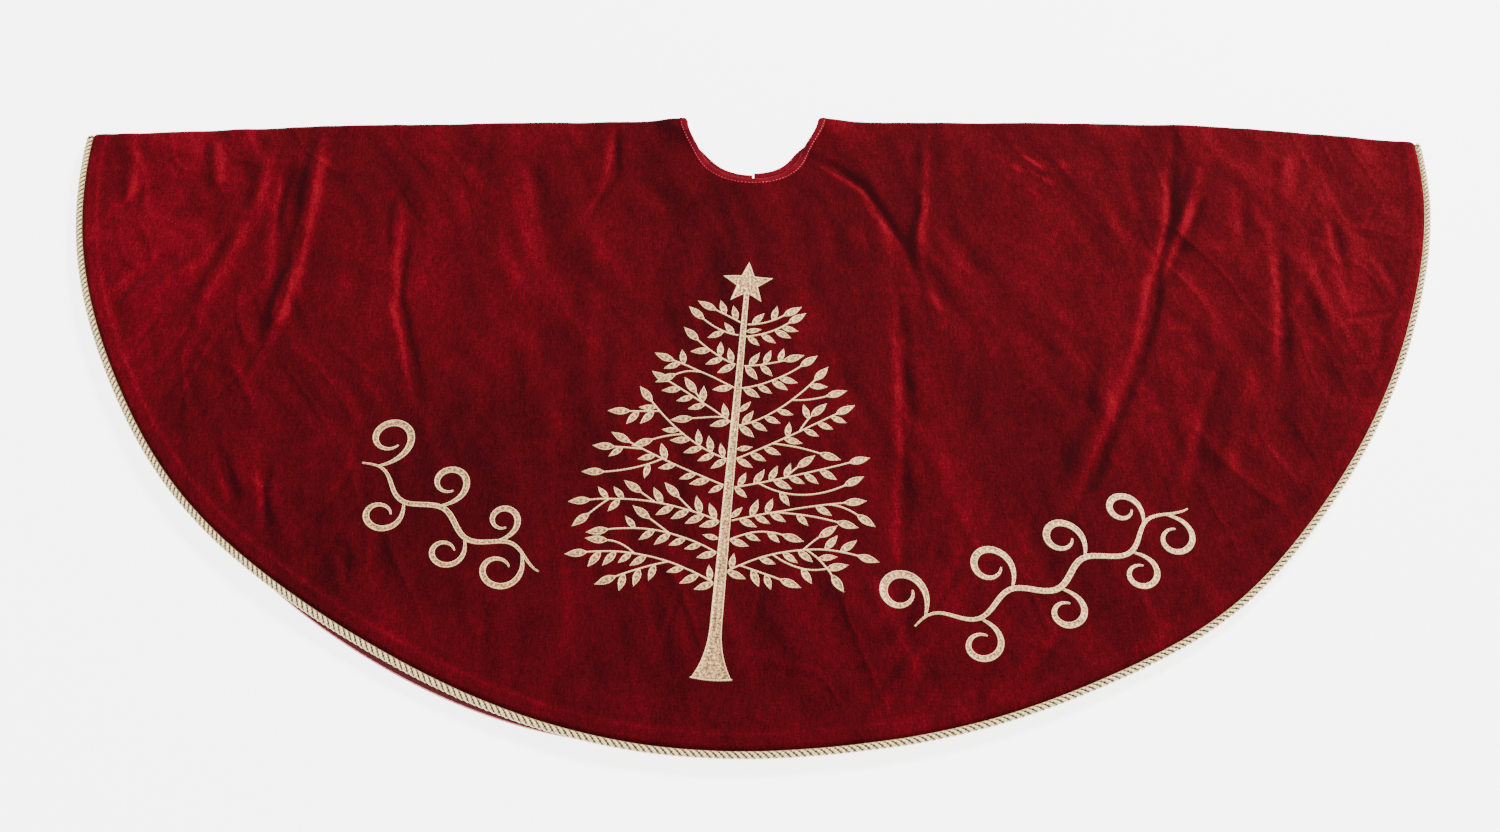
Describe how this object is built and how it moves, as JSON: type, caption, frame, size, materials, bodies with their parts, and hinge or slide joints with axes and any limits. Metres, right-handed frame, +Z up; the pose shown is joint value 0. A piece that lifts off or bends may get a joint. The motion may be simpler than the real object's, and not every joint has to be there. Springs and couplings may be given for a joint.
{
  "type": "tree skirt",
  "caption": "Round velvet skirt for the foot of a decorated tree, folded in half on its trunk hole, with a corded hem, a slit at the back and a stitched leafy tree.",
  "frame": {"origin": "centre of the trunk hole, at the level of the floor that the folded skirt lies on", "axes": "+X along the fold line, to the right as seen from the embroidered hem; +Y from the embroidered hem towards the fold; +Z up, out of the embroidered face"},
  "size_m": [1.22, 0.6223, 0.0136],
  "materials": {
    "velvet": "crushed pile velvet with a soft sheen",
    "wadding": "matt fibre wadding",
    "lining": "plain woven lining with a slight sheen",
    "binding": "velvet binding, topstitched",
    "cord": "twisted three-ply rayon cord, silky",
    "cord_tape": "woven cotton tape",
    "gold_thread": "raised satin stitch with a metallic fill",
    "hook_tape": "hook side of touch tape",
    "loop_tape": "loop side of touch tape"
  },
  "bodies": {
    "front_half": {"front_velvet": "velvet", "front_wadding": "wadding", "front_lining": "lining", "front_hole_binding": "binding", "front_cord": "cord", "front_cord_tape": "cord_tape", "left_fold": "velvet", "right_fold": "velvet", "left_cord_turn": "cord", "right_cord_turn": "cord", "star_embroidery": "gold_thread", "trunk_embroidery": "gold_thread", "left_branch_embroidery": "gold_thread", "right_branch_embroidery": "gold_thread", "left_scroll_embroidery": "gold_thread", "right_scroll_embroidery": "gold_thread"},
    "back_left": {"back_left_velvet": "velvet", "back_left_wadding": "wadding", "back_left_lining": "lining", "back_left_hole_binding": "binding", "back_left_slit_binding": "binding", "back_left_cord": "cord", "back_left_cord_tape": "cord_tape", "back_left_cord_end": "cord_tape", "back_left_hook_patches": "hook_tape"},
    "back_right": {"back_right_velvet": "velvet", "back_right_wadding": "wadding", "back_right_lining": "lining", "back_right_hole_binding": "binding", "back_right_slit_binding": "binding", "back_right_cord": "cord", "back_right_cord_tape": "cord_tape", "back_right_cord_end": "cord_tape", "back_right_loop_patches": "loop_tape"}
  },
  "joints": [
    {"name": "back_left_fold", "type": "hinge", "parent": "front_half", "child": "back_left", "pos_m": [0, 0.006, 0.0064], "axis": [1, 0, 0], "range_deg": [0, 180], "deforming": ["left_fold", "left_cord_turn"]},
    {"name": "back_right_fold", "type": "hinge", "parent": "front_half", "child": "back_right", "pos_m": [0, 0.006, 0.0064], "axis": [1, 0, 0], "range_deg": [0, 180], "deforming": ["right_fold", "right_cord_turn"]}
  ]
}
